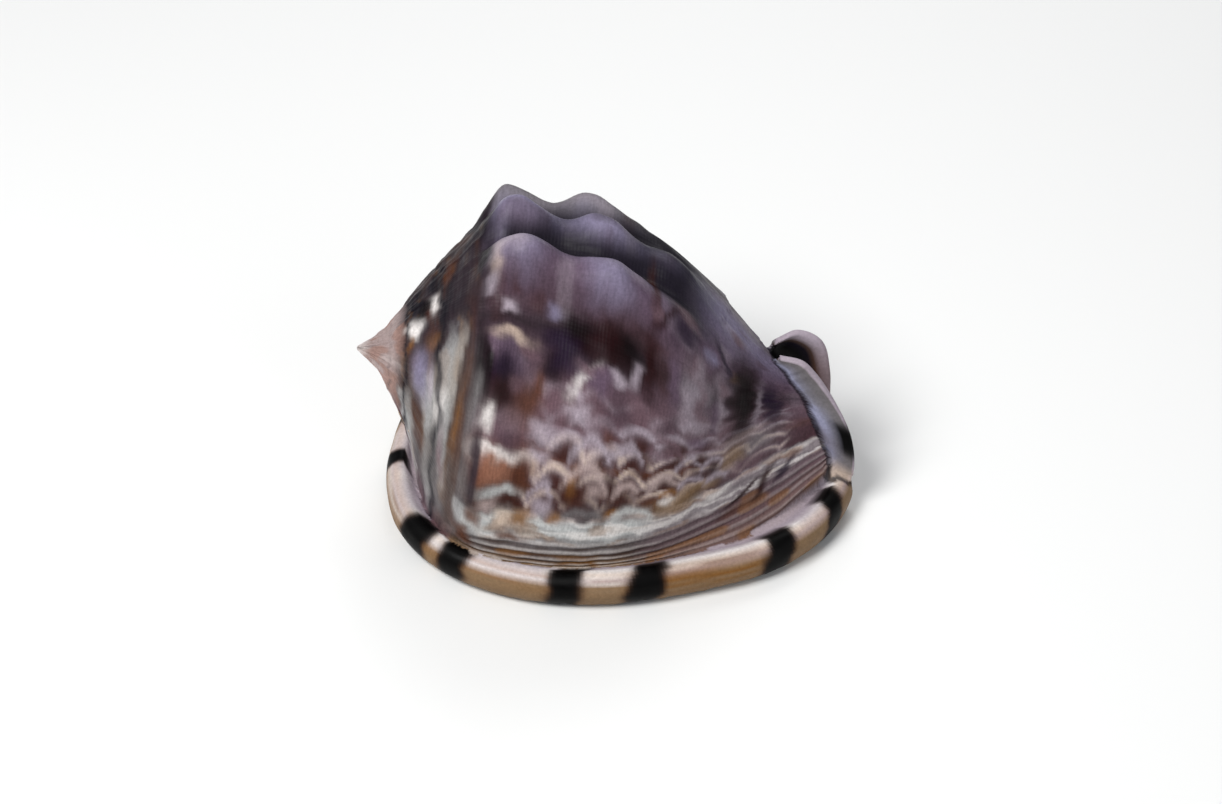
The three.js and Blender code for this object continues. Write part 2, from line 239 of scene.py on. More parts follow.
def bodyPoint(share, along):
    # share runs once round the body: first the turn itself, then the closing stretch under the lip
    turned = (360 - coil["closing"]) / 360
    firstTurn = coil["lipAngle"] - 360 * turned
    point = whorlPoint(firstTurn + 360 * np.minimum(share, turned), along)
    closing = np.clip((share - turned) / (1 - turned), 0, 1)[..., None]
    lip = whorlPoint(np.full_like(share, coil["lipAngle"]), along)
    under = lip * (1 - closing) + whorlPoint(np.full_like(share, firstTurn), along) * closing
    drop = rise(along, 22, 10)
    under[..., 2] = under[..., 2] * (1 - drop) + coil["floor"] * drop
    return np.where(share[..., None] > turned + 1e-9, under, point)


def deselectAll():
    bpy.ops.object.select_all(action="DESELECT")


def keepGrowth(piece, growth):
    # where each point lies on its part of the shell, for the relief and the colours
    layer = piece.data.attributes.new("growth", "FLOAT_VECTOR", "POINT")
    layer.data.foreach_set("vector", growth.astype(np.float32).ravel())


def bendGrid(name, acrossSteps, alongSteps, pointAt):
    # a plain grid, bent to shape point by point and sewn where its edges meet
    deselectAll()
    bpy.ops.mesh.primitive_grid_add(x_subdivisions=acrossSteps, y_subdivisions=alongSteps, size=1)
    piece = bpy.context.active_object
    piece.name = name
    piece.data.name = name
    flat = np.empty(len(piece.data.vertices) * 3)
    piece.data.vertices.foreach_get("co", flat)
    flat = flat.reshape(-1, 3)
    across = np.rint((flat[:, 0] + 0.5) * acrossSteps).astype(int)
    along = np.rint((flat[:, 1] + 0.5) * alongSteps).astype(int)
    across = across % acrossSteps
    points, growth = pointAt(across / acrossSteps, along)
    points = (points + np.array(coil["centring"])) * 0.001
    piece.data.vertices.foreach_set("co", points.ravel())
    keepGrowth(piece, growth)
    piece.data.update()
    bpy.ops.object.mode_set(mode="EDIT")
    bpy.ops.mesh.select_all(action="SELECT")
    bpy.ops.mesh.remove_doubles(threshold=1e-7)
    bpy.ops.mesh.dissolve_degenerate(threshold=1e-7)
    bpy.ops.mesh.normals_make_consistent(inside=False)
    bpy.ops.object.mode_set(mode="OBJECT")
    return piece


parts = {"body": 1, "plate": 2, "canalOutside": 3, "canalInside": 4, "slit": 5, "teeth": 6, "folds": 7}


def growthOf(part, first, second):
    # two coordinates on the part, and the number of the part itself
    return np.stack(np.broadcast_arrays(first, second, float(parts[part])), -1)


def makeBody():
    steps = coil["alongSteps"]

    def pointAt(share, row):
        s = row / steps
        along = coil["length"] * (s - 0.06 * np.sin(2 * np.pi * s))   # closer rows at the spire and the canal
        point = bodyPoint(share, along)
        ends = (row == 0) | (row == steps)
        point[ends] = axisPoint(along)[ends]
        return point, growthOf("body", coil["lipAngle"] - (360 - coil["closing"]) + 360 * share, along)

    return bendGrid("body", coil["turnSteps"], steps, pointAt)


def catmullRom(points, closed):
    # a smooth curve through the points, sampled finely and read by share of its length or of its points
    points = np.array(points, float)
    count = len(points)
    spans = count if closed else count - 1
    if closed:
        ring = np.concatenate([points[-1:], points, points[:2]])
    else:
        ring = np.concatenate([[2 * points[0] - points[1]], points, [2 * points[-1] - points[-2]]])
    steps = 60
    t = np.arange(spans * steps + 1) / steps
    i = np.minimum(t.astype(int), spans - 1)
    u = (t - i)[:, None]
    a, b, c, d = ring[i], ring[i + 1], ring[i + 2], ring[i + 3]
    # centripetal spacing, which keeps the bends even
    gaps = [np.sqrt(np.linalg.norm(q - p, axis=1))[:, None] for p, q in ((a, b), (b, c), (c, d))]
    t1 = ((b - a) / gaps[0] - (c - a) / (gaps[0] + gaps[1]) + (c - b) / gaps[1]) * gaps[1]
    t2 = ((c - b) / gaps[1] - (d - b) / (gaps[1] + gaps[2]) + (d - c) / gaps[2]) * gaps[1]
    curve = b + t1 * u + (-3 * b + 3 * c - 2 * t1 - t2) * u**2 + (2 * b - 2 * c + t1 + t2) * u**3
    return t / spans, curve


def readCurve(curve, share, byLength=False):
    shares, points = curve
    if byLength:
        shares = np.concatenate([[0], np.cumsum(np.linalg.norm(np.diff(points, axis=0), axis=1))])
        shares = shares / shares[-1]
    return np.stack([np.interp(share, shares, points[:, k]) for k in range(points.shape[1])], -1)


outlineCurve = catmullRom(rim["lip"] + rim["shield"], True)
slitCurve = catmullRom(slit["line"], False)
lipShare = len(rim["lip"]) / len(rim["lip"] + rim["shield"])


def leftBetween(before, after):
    # unit vectors to the left of the way from one row of points to the other
    tangent = (after - before) / np.linalg.norm(after - before, axis=1)[:, None]
    return np.stack([-tangent[:, 1], tangent[:, 0]], -1)


def outlineAt(t):
    share = np.where(t < 0.5, t * 2 * lipShare, lipShare + (t * 2 - 1) * (1 - lipShare))
    before, after = [readCurve(outlineCurve, (share + small) % 1) for small in (-0.004, 0.004)]
    return readCurve(outlineCurve, share), leftBetween(before, after)


def slitAt(t, widening=0.0):
    lipSide = t < 0.5
    s = np.where(lipSide, 1 - t * 2, t * 2 - 1)
    before, after = [readCurve(slitCurve, np.clip(s + small, 0, 1), True) for small in (-0.004, 0.004)]
    outward = leftBetween(before, after) * np.where(lipSide, -1, 1)[:, None]
    half = (slit["halfWidth"] + widening) * np.sqrt(1 - np.abs(2 * s - 1) ** 8)
    return readCurve(slitCurve, s, True) + outward * half[:, None], outward


def rimThickness(t):
    shieldPart = rise(t, 0.5, 0.12) * fall(t, 1, 0.12)
    return rim["lipThickness"] + (rim["shieldThickness"] - rim["lipThickness"]) * shieldPart


def makePlate():
    # rows of one section: the roll, in over the top, down the slit, out along the underside
    roll = rim["rollSteps"]
    counts = {"top": 10, "wall": 8, "under": 26, "band": 6}
    total = roll + sum(counts.values())

    def pointAt(share, row):
        edge, outward = outlineAt(share)
        slitEdge, slitOut = slitAt(share)
        thickness = rimThickness(share)
        span = slitEdge - edge
        length = np.linalg.norm(span, axis=1)
        unit = span / length[:, None]
        roundIn = rim["round"]
        bandEdge = np.minimum(roundIn + rim["restBand"], length * 0.42)
        innerTop = 12 + np.where(share < 0.5, 0, 20) * rise(slitEdge[:, 0], 0, 50)
        # key points of the section: distance inwards from the edge, height
        keyRow = np.cumsum([roll, 3, 7, 4, 4, 6, 10, 10, 6])
        point = np.zeros((len(row), 3))
        angle = np.radians(-90 + 180 * np.minimum(row, roll) / roll)
        rolled = edge + outward * (roundIn * (np.abs(np.cos(angle)) ** 0.8 - 1))[:, None]
        rolledTop = edge - outward * roundIn
        places = [
            (rolledTop, thickness),
            (edge + unit * roundIn * 2, thickness - 3),
            (slitEdge, innerTop),
            (slitEdge, np.full_like(length, 6.5)),
            (slitEdge + slitOut * 1.5, np.full_like(length, 3)),
            (edge + span * 0.8, np.full_like(length, 2.6)),
            (edge + span * 0.58, np.full_like(length, 2.6)),
            (edge + unit * bandEdge[:, None], np.zeros_like(length)),
            (rolledTop, np.zeros_like(length)),
        ]
        onRoll = row <= roll
        point[:, :2] = rolled
        point[:, 2] = thickness / 2 * (1 + np.sin(angle))
        for k in range(len(places) - 1):
            first, last = keyRow[k], keyRow[k + 1]
            inside = (row > first) & (row <= last)
            u = ((row - first) / (last - first))[:, None]
            (flatA, highA), (flatB, highB) = places[k], places[k + 1]
            flat = flatA * (1 - u) + flatB * u
            high = highA[:, None] * (1 - u) + highB[:, None] * u
            point = np.where(inside[:, None], np.concatenate([flat, high], 1), point)
        return point, growthOf("plate", share, row / total)

    return bendGrid("plate", rim["aroundSteps"], total, pointAt)


def makeSlitTool():
    def pointAt(share, row):
        point, _ = slitAt(share, slit["clearance"])
        height = np.array([-1, -1, slit["depth"], slit["depth"]])[row]
        flat = readCurve(slitCurve, np.where(share < 0.5, 1 - share * 2, share * 2 - 1), True)
        point = np.where(((row == 0) | (row == 3))[:, None], flat, point)
        return np.concatenate([point, height[:, None]], 1), growthOf("slit", share, row)

    return bendGrid("slitTool", 120, 3, pointAt)


canalCurves = [catmullRom(canal[line], False) for line in ("near", "far", "bed")]


def canalSection(share):
    near, far, bed = [readCurve(curve, share) for curve in canalCurves]
    centre = (near + far) / 2
    return centre, (far - near) / 2, bed - centre


def canalPoint(section, angle, thicker, deeper, lift=0.0):
    # a lift moves the edges of the half pipe up, away from its bed
    centre, across, down = section
    acrossLength = np.linalg.norm(across, axis=1)
    downLength = np.linalg.norm(down, axis=1)
    side = across * ((acrossLength + thicker) / acrossLength * np.sin(angle))[:, None]
    return centre + side + down * (((downLength + deeper) * np.cos(angle) - lift) / downLength)[:, None]


def makeCanal():
    # across: the outside, the far edge, the inside and the near edge, both edges rolled round
    half, edge, steps = canal["halfSteps"], canal["edgeSteps"], canal["alongSteps"]
    across = 2 * (half + edge)

    def pointAt(share, row):
        step = np.rint(share * across).astype(int)
        returning = step >= half + edge
        index = np.where(returning, step - half - edge, step)
        angle = np.radians(-90 + 180 * np.minimum(index, half - 1) / (half - 1))
        roll = np.pi * np.clip(index - half + 1, 0, None) / (edge + 1)
        angle = np.where(returning, -angle, angle)
        roll = np.where(returning, np.pi - roll, roll)
        place = np.clip(row - 1, 0, steps - 2) / (steps - 2)
        bed = canal["wall"] + (canal["bedWall"] - canal["wall"]) * fall(place, 1, 0.3)
        outwards = (1 + np.cos(roll)) / 2
        closed = (row == 0) | (row == steps)
        thicker = canal["wall"] * np.where(closed, 0.5, outwards)
        deeper = np.where(closed, canal["wall"] / 2, bed * outwards)
        lift = canal["wall"] / 2 * np.sin(roll) * ~closed
        point = canalPoint(canalSection(place), angle, thicker, deeper, lift)
        growth = growthOf("canalInside", np.sin(angle), place)
        growth[outwards > 0.99, 2] = parts["canalOutside"]
        return point, growth

    return bendGrid("canal", across, steps, pointAt)


def makeCanalTool():
    half, steps, reach = 24, 60, 26

    def pointAt(share, row):
        step = np.rint(share * (half + 2)).astype(int)
        place = np.clip(row - 1, 0, steps - 2) / (steps - 2)
        section = canalSection(place)
        index = np.where(step < half, step, np.where(step == half, half - 1, 0))
        point = canalPoint(section, np.radians(-90 + 180 * index / (half - 1)), 0.3, 0.3)
        down = section[2] / np.linalg.norm(section[2], axis=1)[:, None]
        point = np.where((step >= half)[:, None], point - down * reach, point)
        ends = (row == 0) | (row == steps)
        return np.where(ends[:, None], section[0], point), growthOf("canalInside", np.zeros(len(row)), place)

    return bendGrid("canalTool", half + 2, steps, pointAt)


def combine(piece, other, operation):
    deselectAll()
    bpy.context.view_layer.objects.active = piece
    modifier = piece.modifiers.new(operation.lower(), "BOOLEAN")
    modifier.operation = operation
    modifier.object = other
    modifier.solver = "MANIFOLD"
    bpy.ops.object.modifier_apply(modifier=modifier.name)
    bpy.data.objects.remove(other)


# Teeth on the lip side of the slit and finer folds on the other: count, first and last place along it,
# half sizes along the slit, across it and up, how far they reach in, and their height
lumps = {
    "teeth": {"count": 11, "from": 0.12, "to": 0.88, "size": (3.6, 9, 5), "inset": -3.5, "height": 5.4},
    "folds": {"count": 15, "from": 0.16, "to": 0.92, "size": (1.4, 8, 2.6), "inset": -2, "height": 3.4},
}


def makeLumps(name, lipSide):
    row = lumps[name]
    places = np.linspace(row["from"], row["to"], row["count"])
    edges, outwards = slitAt((1 - places) / 2 if lipSide else (1 + places) / 2)
    deselectAll()
    made = []
    for edge, outward, place in zip(edges, outwards, places):
        bpy.ops.mesh.primitive_uv_sphere_add(segments=20, ring_count=12, radius=1)
        lump = bpy.context.active_object
        centre = edge + outward * (row["size"][1] + row["inset"])
        turned = np.arctan2(outward[1], outward[0]) + np.pi / 2
        wander = 1 + 0.12 * np.sin(place * 57)             # no two teeth are quite alike
        lump.scale = Vector(row["size"]) * 0.001 * wander
        lump.rotation_euler = (0, 0, turned)
        lump.location = (Vector((centre[0], centre[1], row["height"])) + Vector(coil["centring"])) * 0.001
        bpy.ops.object.transform_apply(location=True, rotation=True, scale=True)
        made.append(lump)
    for lump in made:
        lump.select_set(True)
    bpy.context.view_layer.objects.active = made[0]
    bpy.ops.object.join()
    piece = made[0]
    keepGrowth(piece, growthOf(name, np.zeros(len(piece.data.vertices)), 0))
    return piece


def makeGround():
    # what the canal may not reach below
    deselectAll()
    bpy.ops.mesh.primitive_cube_add(size=0.4, location=(0, 0, -0.2))
    ground = bpy.context.active_object
    bpy.ops.object.transform_apply(location=True)
    keepGrowth(ground, growthOf("plate", np.zeros(8), 0.8))
    return ground


shell = makeBody()
print("body", len(shell.data.polygons))
combine(shell, makeSlitTool(), "DIFFERENCE")
combine(shell, makePlate(), "UNION")
print("plate joined", len(shell.data.polygons))
combine(shell, makeLumps("teeth", True), "UNION")
combine(shell, makeLumps("folds", False), "UNION")
combine(shell, makeCanalTool(), "DIFFERENCE")
canalPiece = makeCanal()
combine(canalPiece, makeGround(), "DIFFERENCE")
combine(shell, canalPiece, "UNION")
shell.name = "helmetShell"
shell.data.name = "helmetShell"
print("canal joined", len(shell.data.polygons))


def readPoints(piece):
    points = np.empty(len(piece.data.vertices) * 3)
    piece.data.vertices.foreach_get("co", points)
    growth = np.empty(len(piece.data.vertices) * 3, dtype=np.float32)
    piece.data.attributes["growth"].data.foreach_get("vector", growth)
    return points.reshape(-1, 3), growth.reshape(-1, 3).astype(float)


def nearestOf(points, chosen):
    # tree of the chosen points, each under its own number
    tree = KDTree(len(chosen))
    for i in chosen:
        tree.insert(points[i], int(i))
    tree.balance()
    return tree


# How far from a seam the joints are rubbed round, in metres, and how often
joints = {"nearCanal": 0.004, "canal": (0.003, 14), "elsewhere": (0.0016, 6)}


def softenJoints(piece):
    # the parts grew together, so the creases where they meet are rubbed round
    points, growth = readPoints(piece)
    fresh = np.flatnonzero(growth[:, 2] < 0.5)
    old = np.flatnonzero(growth[:, 2] > 0.5)
    tree = nearestOf(points, old)
    for i in fresh:
        growth[i] = growth[tree.find(points[i])[1]]
    piece.data.attributes["growth"].data.foreach_set("vector", growth.astype(np.float32).ravel())
    canalParts = np.isin(growth[:, 2], (parts["canalOutside"], parts["canalInside"]))
    seamTree = nearestOf(points, fresh)
    seamGap = np.array([seamTree.find(point)[2] for point in points])
    canalTree = nearestOf(points, np.flatnonzero(canalParts))
    canalGap = np.array([canalTree.find(point)[2] for point in points])
    nearCanal = canalGap < joints["nearCanal"]
    for near, (reach, repeat) in ((nearCanal, joints["canal"]), (~nearCanal, joints["elsewhere"])):
        piece.data.vertices.foreach_set("select", near & (seamGap < reach))
        for items in (piece.data.edges, piece.data.polygons):
            items.foreach_set("select", np.zeros(len(items), bool))
        bpy.ops.object.mode_set(mode="EDIT")
        bpy.ops.mesh.select_mode(type="VERT")
        bpy.ops.mesh.vertices_smooth(factor=0.5, repeat=repeat)
        bpy.ops.object.mode_set(mode="OBJECT")
    return np.where(canalGap < 0.003, seamGap * 1000, 9)      # mm to the seam along the canal


deselectAll()
shell.select_set(True)
bpy.context.view_layer.objects.active = shell
canalSeam = softenJoints(shell)
print("joints softened")

# The pigments of the shell
pigments = {
    "lavender": "#787286", "mauve": "#5e4e5d", "rose": "#665158", "lilac": "#9b9199", "slate": "#15111a",
    "violet": "#24172a", "night": "#0e0407", "maroon": "#280e10", "umber": "#3b1d16", "brown": "#553424",
    "ochre": "#7a5428", "tan": "#806a52", "salmon": "#86604f", "cream": "#bcaa9b", "chalk": "#cfcac7",
    "bluegrey": "#aeafae", "ash": "#6a6667", "shade": "#352b30", "ink": "#020101", "blush": "#a59592",
    "gum": "#c09070", "chestnut": "#3a1a0c", "dusk": "#4e3e46", "bark": "#463833", "steel": "#9091a6",
}

# Ground colour of the last whorl by turn angle, from the far side over the knobs down to the lip
groundColours = [
    (-226, "cream"), (-170, "rose"), (-140, "salmon"), (-114, "rose"), (-90, "mauve"), (-63, "lavender"),
    (-38, "ash"), (-20, "lavender"), (-10, "lavender"), (14, "mauve"), (27, "dusk"), (35, "shade"),
    (42, "dusk"), (52, "rose"), (64, "rose"), (71, "brown"), (76, "umber"), (85, "umber"), (87.5, "ash"),
    (89, "bluegrey"), (95, "bluegrey"), (99, "ash"), (106, "bark"), (116, "tan"),
]

# Soft marks, painted one by one: turn, along, half turn, half length (mm), colour, strength, and where it has
# one its lean (mm per degree)
bodyMarks = [
    # paler fields that the dark columns stand in
    (42, 124, 18, 8, "lilac", 0.25), (72, 150, 14, 14, "lilac", 0.35), (40, 152, 17, 1.6, "lilac", 0.7),
    (40, 135.5, 14, 2.2, "lilac", 0.6), (63, 147, 4, 10, "blush", 0.6),
    # around the knobs
    (16, 47, 6, 2, "cream", 0.9), (20, 53.3, 5, 1.9, "umber", 0.85, 0.4), (14, 88, 8, 9, "lavender", 0.8),
    (23.5, 43.5, 2.4, 2.6, "lilac", 0.9), (30, 53, 2.6, 3, "lilac", 0.95),
    (30, 69, 2.4, 3, "lavender", 0.8), (6, 105, 13, 1.6, "umber", 0.8), (17, 106, 3, 1.6, "rose", 0.8),
    (10.5, 118, 3.5, 5, "rose", 0.8), (16.5, 109.5, 6, 2.4, "maroon", 0.8, -0.65),
    (17.5, 119, 4.5, 6, "violet", 0.85), (15, 135, 8, 2, "violet", 0.85, 0.54),
    (18, 129.5, 3, 2, "lavender", 0.8), (20, 141.5, 3, 2.4, "tan", 0.7), (-6, 142, 5, 3, "brown", 0.5),
    (-16, 87, 4, 7, "shade", 0.5), (-8, 66, 5, 5, "slate", 0.5), (35, 115.5, 10, 3, "mauve", 0.8),
    (27, 124, 5, 2, "rose", 0.6),
    # the dark belt below the knobs
    (34, 79, 8, 7, "night", 0.95), (34, 95, 8, 9, "night", 1), (31, 88, 5, 6, "maroon", 0.8),
    (35, 106, 12, 2.8, "maroon", 0.95), (38, 88, 3.5, 10, "maroon", 0.6), (38, 72, 3, 8, "violet", 0.75),
    (33, 145, 28, 5.8, "maroon", 0.95), (34, 145, 26, 5.2, "night", 0.9),
    (41, 157.5, 22, 3.6, "violet", 0.95, 0.1), (40, 122.5, 9, 3.4, "lilac", 0.55),
    (28, 126, 6, 2.4, "lilac", 0.45), (46.5, 70, 5, 5, "night", 0.8), (42, 74, 6, 6, "violet", 0.95),
    (59, 62, 5, 6.5, "brown", 0.85), (53.5, 65.5, 5, 2.2, "brown", 0.8), (45, 133, 9, 2, "mauve", 0.7),
    (40, 127, 9, 2, "rose", 0.6), (30, 136, 6, 2, "rose", 0.7),
    # boss on the shoulder, with painted shade as the violet blot under it, and pale commas between the dark
    # blots
    (46.5, 53, 6, 7, "mauve", 0.9), (41, 55, 1.8, 6.5, "cream", 0.75), (43.5, 60.5, 2, 3, "rose", 0.9),
    # the violet blot at turn 51.5, along 51, is painted shade under the boss
    (51.5, 51, 4.6, 6, "violet", 0.95), (57.5, 52.5, 4.4, 5.5, "maroon", 0.95),
    (54.5, 57.5, 2.2, 2.4, "rose", 0.7), (47.5, 81, 6, 2.4, "chalk", 0.6, -0.7),
    (43.5, 84, 1.8, 4, "rose", 0.9), (43, 94, 2, 4, "lilac", 0.9), (40.5, 101, 4, 1.9, "lilac", 0.8),
    (46, 88, 4, 4, "mauve", 0.9), (50, 95, 5, 4, "dusk", 0.8), (57, 81.5, 2.8, 4.2, "lilac", 0.8),
    (64, 70.5, 3.2, 5, "lilac", 0.75), (50.5, 105.5, 3.6, 5, "rose", 0.9), (56, 72, 3, 4, "rose", 0.8),
    (52, 117, 3.5, 4, "dusk", 0.7), (55, 96, 3, 5, "dusk", 0.6), (58, 127, 4, 4, "mauve", 0.7),
    (50, 126, 3, 4, "lilac", 0.5), (54, 138, 5, 4, "rose", 0.7),
    # fields under the arches
    (66, 107, 6, 4, "umber", 0.85), (64, 121.5, 5, 2.4, "umber", 0.8), (68, 130.5, 5, 2.2, "umber", 0.7),
    (62, 95, 3, 2.4, "brown", 0.5), (80, 82, 4.5, 4.5, "umber", 0.7), (84, 90, 4, 8, "maroon", 0.5),
    (84, 106, 4.5, 4.5, "umber", 0.85), (83, 114, 4, 4, "brown", 0.8), (86, 124, 4, 9, "tan", 0.8),
    (79, 98, 6, 2, "maroon", 0.85), (77, 138, 6, 2, "maroon", 0.85, 0.4), (82, 132, 3, 8, "tan", 0.8),
    (74, 145, 6, 5, "tan", 0.7), (72, 154, 6, 5, "ash", 0.6), (84, 150, 6, 6, "rose", 0.7),
    (80.5, 87, 3.6, 4, "umber", 1), (80, 101, 3.8, 4.2, "umber", 1), (63.5, 117, 2.6, 2.8, "rose", 0.9),
    (78.5, 91.5, 2, 2.8, "blush", 0.7), (83, 120.8, 1.9, 3.2, "chalk", 0.7), (90, 141, 2, 4, "chalk", 0.75),
    (70.5, 70, 2.2, 4, "lilac", 0.8), (85.5, 74, 2.4, 4.4, "lilac", 0.8),
    (87.5, 80.5, 1.8, 3, "ochre", 0.8), (86.5, 99.5, 1.8, 3, "ochre", 0.8), (77, 84, 4, 2, "ochre", 0.55),
    (98, 150, 4.4, 2.5, "maroon", 0.95, -1.46), (98, 158.5, 7, 2.1, "maroon", 0.9, -0.35),
    (97, 167, 5, 1.7, "violet", 0.85, -0.7), (104, 148, 3, 4, "brown", 0.6, -1),
    # lower left: pink swelling, grey step and brown stains
    (71.8, 54, 1.9, 10, "chalk", 0.85), (75.4, 53.5, 3, 7, "salmon", 0.9),
    (80.4, 57, 1.9, 9, "bluegrey", 0.85), (77, 66, 4, 4, "brown", 0.7), (85, 54, 3, 4.6, "blush", 0.9),
    (91, 49.5, 4, 2.8, "brown", 0.85), (91, 61, 3.4, 3.6, "cream", 0.85), (90, 68, 3.6, 3.4, "ochre", 0.8),
    (96.5, 64, 2.6, 5, "brown", 0.85, 1.2), (66, 52, 3.4, 6, "rose", 0.8),
    (63.5, 48.5, 3.8, 2.6, "chalk", 0.9), (68, 58, 3, 5, "dusk", 0.8),
    # ramp and spire; the shade and night lines at turns 30, 48, 51 and 76, along 41 to 46, are painted shade
    # in the groove at the foot of the shoulder, beside the boss and the pink swelling
    (8, 38, 22, 4.5, "shade", 0.75), (0, 44, 24, 2.4, "night", 0.55), (30, 41, 12, 1.6, "shade", 0.8),
    (48, 42.5, 11, 1.6, "night", 0.75), (49, 36, 13, 1.5, "tan", 0.35), (62, 43, 9, 2, "ash", 0.6),
    (66.5, 33, 7, 1.9, "chalk", 0.8), (68, 39, 9, 0.9, "ochre", 0.5), (80, 35, 9, 1.4, "rose", 0.7),
    (88, 39, 13, 1.7, "bark", 0.85, -0.05), (101, 46, 5, 3, "brown", 0.8, 0.6),
    (84, 43, 12, 1.8, "ash", 0.5), (30.5, 21, 9, 2.8, "chalk", 0.95), (17, 27, 7, 2.7, "chalk", 0.95),
    # the night line at turn 51 and the shade line at turn 76 are painted shade in the groove beside the boss
    # and the pink swelling
    (17, 23, 8, 2.5, "night", 0.95), (51, 45.5, 10, 1.5, "night", 0.8), (76, 46, 9, 1.2, "shade", 0.85),
    (14, 54, 7, 9, "lavender", 0.7), (12, 50, 4, 6, "lilac", 0.7), (22, 24.8, 5, 1.2, "umber", 0.9, 0.1),
    (42, 20, 6, 1.1, "ochre", 0.6), (42, 28, 6, 1.2, "ochre", 0.5), (59.5, 25, 13, 3, "lavender", 0.9),
    (87, 24, 9, 3, "brown", 0.6), (60, 29, 8, 1, "lilac", 0.7), (100, 26, 9, 2.6, "shade", 0.6),
    (3, 30, 14, 2, "brown", 0.6),
]

# Pale arches in rows: top turn, along, half width (mm), fall of the legs (degrees), thickness, colour
bodyArches = [
    (63, 89, 9, 7, 2.21, "lilac"), (63, 101.5, 6, 5, 2.21, "lilac"), (56.8, 116, 7, 11, 1.56, "rose"),
    (65.5, 126.5, 5, 5, 1.69, "lilac"), (68.5, 135.5, 4.5, 6, 2.08, "lilac"),
    (71, 88, 8.5, 7, 2.6, "blush"), (77, 72.5, 4.5, 5, 2.47, "lilac"), (76, 103.5, 5, 4, 2.21, "blush"),
    (72.7, 118, 7, 6, 1.95, "blush"), (76, 128, 5, 3, 1.82, "lilac"), (78.3, 138.5, 5, 4, 1.95, "lilac"),
    (78, 120, 3.6, 3, 1.3, "ochre"), (84.3, 91, 8, 3.4, 1.82, "ash"), (85, 108, 7, 3.4, 1.82, "bluegrey"),
    (109, 92, 9, 4, 1.3, "ochre"),
]


def linear(colour):
    channels = [int(colour[k:k + 2], 16) / 255 for k in (1, 3, 5)]
    return np.array([c / 12.92 if c <= 0.04045 else ((c + 0.055) / 1.055) ** 2.4 for c in channels])


paints = {name: linear(colour) for name, colour in pigments.items()}


def cloud(x, y, seed):
    # seeded soft noise from -1 to 1 with waves about one unit long
    lattice = np.random.default_rng(seed).random((64, 64)) * 2 - 1
    left, low = np.floor(x).astype(int), np.floor(y).astype(int)
    across, up = smooth(x - left), smooth(y - low)

    def corner(i, j):
        return lattice[(left + i) % 64, (low + j) % 64]

    first = corner(0, 0) * (1 - across) + corner(1, 0) * across
    second = corner(0, 1) * (1 - across) + corner(1, 1) * across
    return first * (1 - up) + second * up


def paintOver(colours, *layers):
    # one paint after the other, each with its share from 0 to 1
    for paint, share in layers:
        share = np.clip(share, 0, 1)[:, None]
        colours = colours * (1 - share) + paints[paint] * share
    return colours


def blend(stops, at):
    places = [stop[0] for stop in stops]
    shades = np.array([paints[stop[1]] for stop in stops])
    return np.stack([np.interp(at, places, shades[:, k]) for k in range(3)], -1)


def crestShare(turn, along):
    # 0 in the valleys and saddles, 1 on the knobs
    height = whorlRadius(turn, along) - whorlRadius(turn, along, smoothBody=True)
    return rise(height, 4, 9)


def sutureGap(turn, along):
    # distance along the axis, in mm, to the nearest seam between two whorls
    base = readTable(profile, along)
    phase = np.log(np.maximum(base, 0.1) / coil["shoulderRadius"]) / np.log(coil["growth"]) - turn / 360
    phase = phase + seamWobble(turn)
    gap = np.where((phase > 0.5) | (along > 45), 9, phase - np.rint(phase))
    return gap * 12


# Lace of small arches in staggered rows over the lower half of the body, in degrees and mm
lace = {"start": 47, "end": 90, "rowTurn": 7.9, "first": 62, "last": 168, "column": 13.5, "strength": 0.85}


def paintLace(colours, turn, along):
    rows = (turn - lace["start"]) / lace["rowTurn"]
    row = np.floor(rows)
    columns = along / lace["column"] + 0.5 * (row % 2) + 0.35 * np.sin(row * 2.4)
    column = np.floor(columns)
    side = np.abs(columns - column - 0.5) * 2
    where = rise(turn, lace["start"], 6) * fall(turn, lace["end"], 3)
    where = where * rise(along, lace["first"], 8) * fall(along, lace["last"], 8)
    where = where * (0.5 + 0.5 * rise(cloud(column * 2.7 + 0.5, row * 3.1 + 0.5, 51), -0.5, 1))
    bold = where * lace["strength"]
    depth = rows - row
    crown = 0.14 + 0.6 * side ** 2
    under = rise(depth - crown, 0.08, 0.14) * fall(depth, 1, 0.2) * (1 - side ** 3)
    return paintOver(
        colours,
        ("dusk", under * where * 0.5),
        ("umber", under * bold * rise(turn, 54, 12)),
        ("lilac", bump(depth, crown, 0.24) * bold),
        ("cream", bump(depth, crown, 0.16) * bold * rise(turn, 62, 8)))


def paintMarks(colours, turn, along, marks):
    for markTurn, place, halfTurn, halfLength, paint, strength, *lean in marks:
        offset = along - place - sum(lean) * (turn - markTurn)
        share = bump(turn, markTurn, halfTurn, 3) * bump(offset, 0, halfLength, 3)
        colours = paintOver(colours, (paint, share * strength))
    return colours


